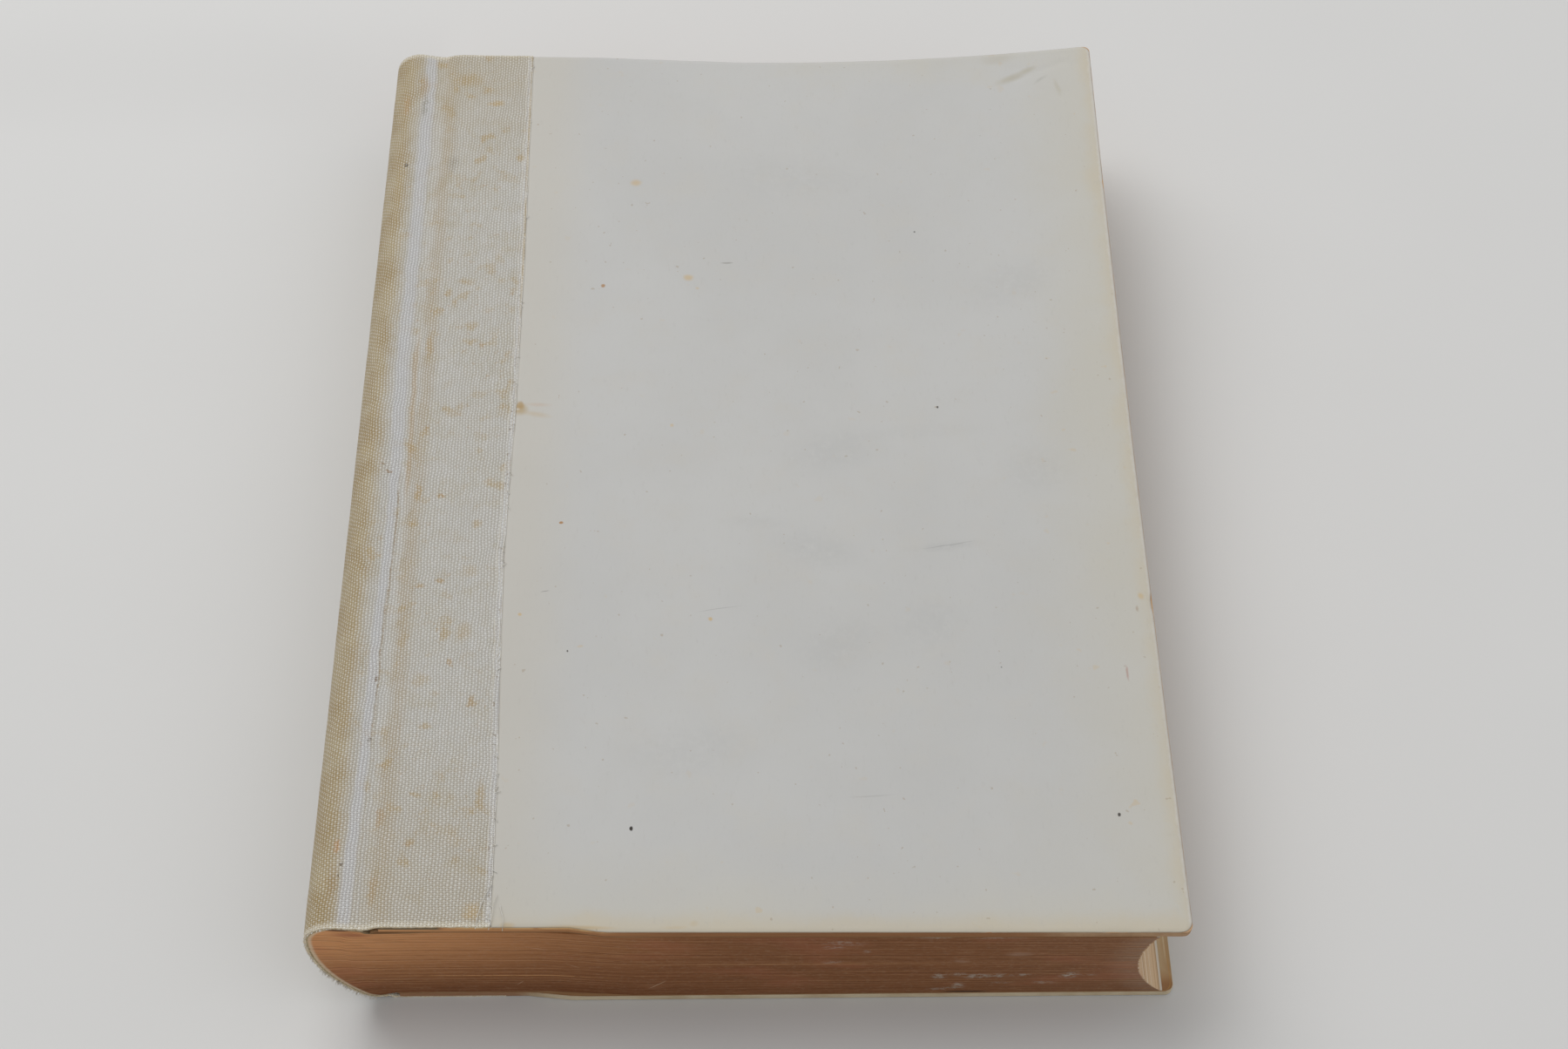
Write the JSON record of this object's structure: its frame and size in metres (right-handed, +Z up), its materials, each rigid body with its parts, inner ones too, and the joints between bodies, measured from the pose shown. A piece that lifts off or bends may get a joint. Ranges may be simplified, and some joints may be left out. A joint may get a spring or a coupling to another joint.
{
  "type": "hardback book",
  "caption": "Worn quarter-bound hardback book lying on its back cover: linen back, paper sides, rounded leaning spine, hollow fore-edge, and covers that open at cloth joints.",
  "frame": {"origin": "on the table, under the middle of the whole book's box", "axes": "+X from the spine to the fore-edge, +Y from the tail to the head, +Z up through the front cover"},
  "size_m": [0.1541, 0.2108, 0.0335],
  "materials": {
    "pages": "leaf edges browned with age, matte",
    "endpaper": "toned endpaper, matte",
    "board": "raw pasteboard, matte",
    "cover_paper": "off-white paper sides, lightly soiled, matte",
    "cloth": "ecru plain-weave linen, foxed and stained, matte",
    "lining": "gauze and paper set in glue, matte"
  },
  "bodies": {
    "text_block": {"text_block": "pages", "spine_lining": "lining", "spine_cloth": "cloth", "front_flyleaf": "endpaper", "back_flyleaf": "endpaper"},
    "front_cover": {"front_board": "board", "front_cover_paper": "cover_paper", "front_pastedown": "endpaper", "front_cloth_side": "cloth"},
    "back_cover": {"back_board": "board", "back_cover_paper": "cover_paper", "back_pastedown": "endpaper", "back_cloth_side": "cloth"}
  },
  "joints": [
    {"name": "front_cover_hinge", "type": "hinge", "parent": "text_block", "child": "front_cover", "pos_m": [-0.06594, 0, 0.02995], "axis": [0, -1, 0], "range_deg": [0, 180]},
    {"name": "back_cover_hinge", "type": "hinge", "parent": "text_block", "child": "back_cover", "pos_m": [-0.06494, 0, 0], "axis": [0, 1, 0], "range_deg": [0, 180]}
  ]
}
